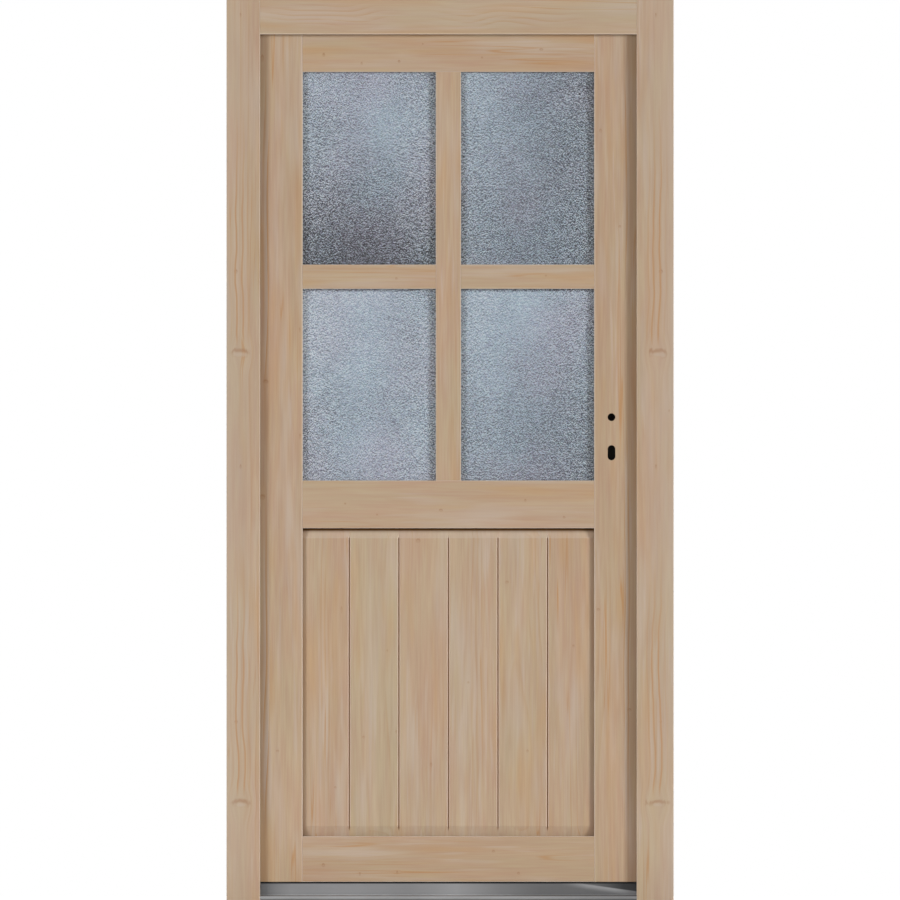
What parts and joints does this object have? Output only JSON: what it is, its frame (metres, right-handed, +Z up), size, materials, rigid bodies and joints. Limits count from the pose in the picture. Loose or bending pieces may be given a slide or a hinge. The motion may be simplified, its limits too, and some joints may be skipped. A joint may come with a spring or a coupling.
{
  "type": "side door",
  "caption": "Timber side entrance door in its frame: an inward-opening leaf with obscured panes over a boarded panel, on drill-in hinges above an aluminium threshold.",
  "frame": {"origin": "foot of the hinge jamb's wall face, at floor level and at the middle of the frame's depth", "axes": "+X from the hinge jamb to the lock jamb, +Y from the outside to the inside, +Z up"},
  "size_m": [0.98, 0.0905, 1.98],
  "materials": {
    "frame_timber": "planed, unpainted",
    "leaf_timber": "planed, unpainted",
    "panel_timber": "planed, unpainted",
    "patterned_glass": "obscured with a fine pebbled pattern",
    "clear_glass": "polished",
    "threshold_aluminium": "satin anodised",
    "spacer_aluminium": "mill finish",
    "seal_rubber": "matt black",
    "hinge_steel": "zinc plated",
    "lock_steel": "brushed",
    "lock_case_steel": "blackened"
  },
  "bodies": {
    "frame": {"hinge_jamb": "frame_timber", "lock_jamb": "frame_timber", "frame_head": "frame_timber", "threshold": "threshold_aluminium", "hinge_jamb_seal": "seal_rubber", "lock_jamb_seal": "seal_rubber", "head_seal": "seal_rubber", "threshold_seal": "seal_rubber", "strike_plate": "lock_steel", "lower_hinge_frame_half": "hinge_steel", "lower_hinge_pin": "hinge_steel", "middle_hinge_frame_half": "hinge_steel", "middle_hinge_pin": "hinge_steel", "upper_hinge_frame_half": "hinge_steel", "upper_hinge_pin": "hinge_steel"},
    "leaf": {"hinge_stile": "leaf_timber", "lock_stile": "leaf_timber", "top_rail": "leaf_timber", "lock_rail": "leaf_timber", "bottom_rail": "leaf_timber", "upright_glazing_bar": "leaf_timber", "left_glazing_bar": "leaf_timber", "right_glazing_bar": "leaf_timber", "inner_panes": "clear_glass", "pane_spacers": "spacer_aluminium", "upright_beads": "leaf_timber", "cross_beads": "leaf_timber", "lock_case": "lock_case_steel", "lock_faceplate": "lock_steel", "latch_bolt": "lock_steel", "dead_bolt": "lock_steel", "upper_left_pane": "patterned_glass", "upper_right_pane": "patterned_glass", "lower_left_pane": "patterned_glass", "lower_right_pane": "patterned_glass", "panel_board_1": "panel_timber", "panel_board_2": "panel_timber", "panel_board_3": "panel_timber", "panel_board_4": "panel_timber", "panel_board_5": "panel_timber", "panel_board_6": "panel_timber", "lower_hinge_leaf_half": "hinge_steel", "middle_hinge_leaf_half": "hinge_steel", "upper_hinge_leaf_half": "hinge_steel"}
  },
  "joints": [
    {"name": "leaf_swing", "type": "hinge", "parent": "frame", "child": "leaf", "pos_m": [0.0335, 0.0475, 0.99], "axis": [0, 0, 1], "range_deg": [0, 100]}
  ]
}
